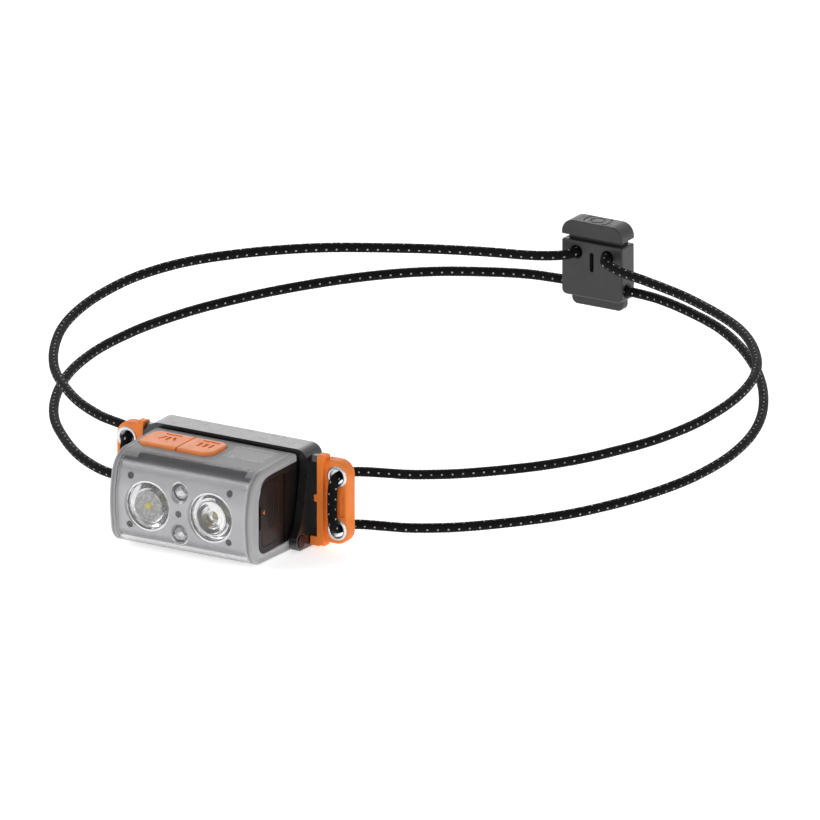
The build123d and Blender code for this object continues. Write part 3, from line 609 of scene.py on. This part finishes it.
def make_lenses(material, frosted):
    """Each lens has a small face and a stepped, clear flange that shows the plated cup behind."""
    axis, front, back = lens_axis("flood_lens")
    front, back = front / MM, back / MM
    face = [(i * 4.3 / 36, front + 0.3) for i in range(37)] + [(4.5, front + 0.4)]
    flange = [(4.62, front + 1.4), (5.0, front + 1.6), (6.4, front + 1.6), (6.55, front + 1.75)]
    rear = [(6.55, front + 2.2), (5.3, front + 2.6), (4.1, front + 4.6), (3.0, back), (1.9, back)]
    rear += [(1.7, front + 2.6), (1.2, front + 2.1), (0.0, front + 1.9)]
    shallow = rear[:5] + [(1.7, front + 1.2), (1.4, front + 0.85), (0.0, front + 0.8)]
    flood = turned("flood_lens_beaded", to_metres(face + flange + shallow), axis, 128,
                   material, lift=bead_lift)
    flood.data.materials.append(frosted)
    for polygon in flood.data.polygons:
        x, y, z = polygon.center
        reach = math.hypot(x - axis[0], z - axis[1])
        if 1.0 * MM < reach < 4.4 * MM and y < (front + 0.55) * MM:
            polygon.material_index = 1
    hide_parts("flood_lens")
    axis, front, back = lens_axis("spot_lens")
    front, back = front / MM, back / MM
    steps = [(0.0, 1.3), (0.8, 1.35), (1.5, 1.6), (1.75, 1.5), (1.9, 0.95), (2.1, 0.8), (2.9, 0.85)]
    steps += [(3.05, 0.75), (3.2, 0.45), (3.4, 0.35), (4.2, 0.37), (4.35, 0.25), (4.5, 0.0), (5.0, 0.0)]
    steps += [(5.15, 0.15), (5.25, 1.4), (5.6, 1.6), (6.4, 1.6), (6.55, 1.75)]
    steps = [(radius, front + depth) for radius, depth in steps]
    spot = turned("spot_lens_stepped", to_metres(steps + rear), axis, 128, material)
    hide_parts("spot_lens")


def make_emitters(chip, glow, plating):
    """A post with the yellow chip in each lens, and the inside and collar of each small LED."""
    for name, top in (("flood", 0.1), ("spot", 2.6)):
        axis, front, _ = lens_axis(name + "_lens")
        front = front / MM
        led_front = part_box(name + "_led")[0].y / MM
        post = [(0.0, front + top), (0.65, front + top + 0.02), (0.85, front + top + 0.1)]
        post += [(0.95, front + top + 0.25), (1.0, led_front - 0.02)]
        turned(name + "_emitter", to_metres(post), axis, 32, glow)
    for name in ("aux_led_upper", "aux_led_lower"):
        low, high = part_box(name)
        axis, front = ((low.x + high.x) / 2, (low.z + high.z) / 2), low.y / MM
        cup = [(0.6, front + 3.6), (0.8, front + 3.2), (1.3, front + 2.4), (1.8, front + 1.5)]
        cup += [(1.95, front + 1.5), (2.0, front + 1.8), (1.5, front + 5.2), (0.0, front + 5.3)]
        turned(name + "_cup", to_metres(cup), axis, 48, plating)
        die = [(0.0, front + 3.1), (0.5, front + 3.15), (0.58, front + 3.3), (0.58, front + 3.9)]
        turned(name + "_die", to_metres(die), axis, 24, chip)
        collar = [(2.5, front + 0.9), (2.55, front + 0.35), (2.75, front + 0.15), (2.95, front + 0.2)]
        collar += [(3.1, front + 0.45), (3.1, front + 0.9)]
        turned(name + "_collar", to_metres(collar), axis, 64, plating)


# ---- port cover ------------------------------------------------------------------------

def round_loop(y, z, radius, x):
    """A closed rounded rectangle at one X, in metres, from ranges in millimetres."""
    centres = [(y[1] - radius, z[1] - radius), (y[0] + radius, z[1] - radius)]
    centres += [(y[0] + radius, z[0] + radius), (y[1] - radius, z[0] + radius)]
    points = []
    for corner, (cy, cz) in enumerate(centres):
        for step in range(7):
            turn = math.pi / 2 * (corner + step / 6)
            points.append((x, cy + radius * math.cos(turn), cz + radius * math.sin(turn)))
    return np.array(points) * MM


def raised_line(name, loop, radius, material, body):
    lengths = np.arange(len(loop)) * MM
    return tube(name, loop, lengths, radius, 8, material, body, closed=True)


def make_cover_marks(material, glint):
    """A raised outline of the port under the flap, an inner panel line and a small orange triangle, a
    painted glint.
    """
    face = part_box("port_cover")[1].x / MM - 0.35
    raised_line("port_cover_outline", round_loop((-24.3, -22.3), (-4.2, 4.2), 0.95, face), 0.15 * MM,
                material, "port_cover")
    raised_line("port_cover_panel", round_loop((-28.3, -19.6), (-8.9, 8.0), 1.4, face), 0.1 * MM,
                material, "port_cover")
    y, z, x = -27.4 * MM, 1.2 * MM, (face + 0.02) * MM
    near = [(x, y - 0.5 * MM, z), (x, y + 0.45 * MM, z + 0.75 * MM)]
    near += [(x, y + 0.35 * MM, z - 0.55 * MM)]
    far = [(px - 0.15 * MM, py, pz) for px, py, pz in near]
    faces = [(0, 2, 1), (3, 4, 5), (0, 1, 4, 3), (1, 2, 5, 4), (2, 0, 3, 5)]
    # painted glint: an orange triangle standing in for light refracted in the flap
    new_piece("port_cover_glint", near + far, faces, glint, "port_cover", smooth=False)


EDGE_WIDTH = 0.22 * MM


def soften_edges(name, width):
    """Rounds a CAD node's sharp edges a little, so that they catch the light."""
    bevel = nodes[name].modifiers.new("edges", "BEVEL")
    bevel.width, bevel.segments = width, 2
    bevel.limit_method, bevel.angle_limit = "ANGLE", math.radians(40)
    bevel.use_clamp_overlap = True
    bevel.harden_normals = True


# ---- stage and lights ------------------------------------------------------------------

def press_spring():
    """Gives the lock's spring a mesh of its own."""
    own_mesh(nodes["cord_lock_spring"])


def area_light(name, location, target, size, power):
    data = bpy.data.lights.new(name, "AREA")
    data.shape = "RECTANGLE"
    data.size, data.size_y = size
    data.energy = power
    light = bpy.data.objects.new(name, data)
    bpy.context.scene.collection.objects.link(light)
    light.location = location
    light.rotation_mode = "QUATERNION"
    light.rotation_quaternion = (Vector(target) - Vector(location)).to_track_quat("-Z", "Y")


FLOOR_REACH = 6.0


def make_stage():
    scene = bpy.context.scene
    scene.view_settings.view_transform = "Standard"
    scene.cycles.sample_clamp_indirect = 2.0
    world = bpy.data.worlds.new("world")
    world.use_nodes = True
    tree = world.node_tree
    ray = tree.nodes.new("ShaderNodeSeparateXYZ")
    tree.links.new(tree.nodes.new("ShaderNodeTexCoord").outputs["Generated"], ray.inputs[0])
    dim = tree.nodes.new("ShaderNodeMapRange")
    for socket, value in (("From Min", 0.25), ("From Max", 0.8), ("To Min", 0.8), ("To Max", 0.32)):
        dim.inputs[socket].default_value = value
    tree.links.new(ray.outputs[2], dim.inputs["Value"])
    tree.links.new(dim.outputs["Result"], tree.nodes["Background"].inputs["Strength"])
    tree.nodes["Background"].inputs["Color"].default_value = (1, 1, 1, 1)
    scene.world = world
    ground = cad_box[0][2]
    corners = [(x * FLOOR_REACH, y * FLOOR_REACH, ground) for x, y in ((-1, -1), (1, -1), (1, 1), (-1, 1))]
    mesh = bpy.data.meshes.new("floor")
    mesh.from_pydata(corners, [], [(0, 1, 2, 3)])
    floor = bpy.data.objects.new("floor", mesh)
    scene.collection.objects.link(floor)
    g = moulded("floor", (0.93, 0.93, 0.93), 0.9, 0.005, 8.0, 60.0, 0.0)
    g.set(Emission_Color=(1, 1, 1, 1), Emission_Strength=0.58, Specular_IOR_Level=0.1)
    mesh.materials.append(g.material)
    target = (0.02, 0.06, 0.0)
    area_light("key", (-1.3, -0.7, 1.2), target, (1.0, 1.0), 9.0)
    area_light("back", (-1.0, 2.0, 0.85), target, (3.4, 1.4), 21.0)
    area_light("right", (1.6, 0.1, 0.9), target, (0.8, 0.8), 4.0)


# ---- put together ----------------------------------------------------------------------

def main():
    make_camera()
    make_stage()
    materials = make_materials()
    for part in frame["record"]["subparts"]:
        mesh = nodes[part["node"]].data
        mesh.materials.clear()
        mesh.materials.append(materials[part["material_slot"]])
    cord, path, length = make_cord(materials["cord_black"])
    knot = make_knot(materials["cord_black"])
    make_lenses(materials["optic_acrylic"], beaded_face())
    make_emitters(materials["board_white"], materials["led_phosphor"], materials["reflector_chrome"])
    make_cover_marks(materials["cover_rubber"], materials["lug_orange"])
    for name in ("bracket", "left_cord_lug", "right_cord_lug"):
        soften_edges(name, EDGE_WIDTH)
    press_spring()


main()
